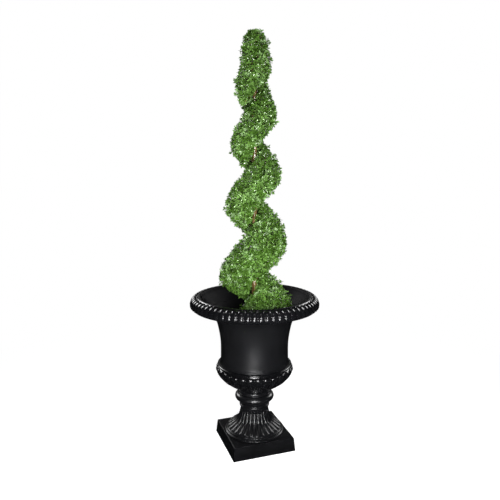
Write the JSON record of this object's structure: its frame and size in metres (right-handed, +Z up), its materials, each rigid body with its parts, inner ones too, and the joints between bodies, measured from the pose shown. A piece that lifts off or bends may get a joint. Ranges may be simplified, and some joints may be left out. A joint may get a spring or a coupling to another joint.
{
  "type": "artificial spiral topiary in a footed urn",
  "caption": "Artificial box topiary clipped to a tapering spiral round a slim brown trunk, planted in a black footed urn with a rolled, gadrooned rim and square plinth.",
  "frame": {"origin": "centre of the plinth's flat underside", "axes": "+Z up along the trunk; X and Y along the plinth's sides, with the front face towards -Y"},
  "size_m": [0.52, 0.52, 1.643],
  "materials": {
    "urn_black": "satin",
    "potting_mass": "matte",
    "trunk_bark": "matte",
    "foliage_green": "satin"
  },
  "bodies": {
    "root": {"plinth": "urn_black", "urn_foot": "urn_black", "urn_stem": "urn_black", "urn_bowl": "urn_black", "urn_bell": "urn_black", "urn_rim": "urn_black", "planting_fill": "potting_mass", "trunk": "trunk_bark", "foliage_tip": "foliage_green", "foliage_shoulder": "foliage_green", "foliage_turn_1_front": "foliage_green", "foliage_turn_1_back": "foliage_green", "foliage_turn_2_front": "foliage_green", "foliage_turn_2_back": "foliage_green", "foliage_turn_3_front": "foliage_green", "foliage_turn_3_back": "foliage_green", "foliage_turn_4_front": "foliage_green", "foliage_turn_4_back": "foliage_green", "foliage_foot": "foliage_green"}
  },
  "joints": []
}
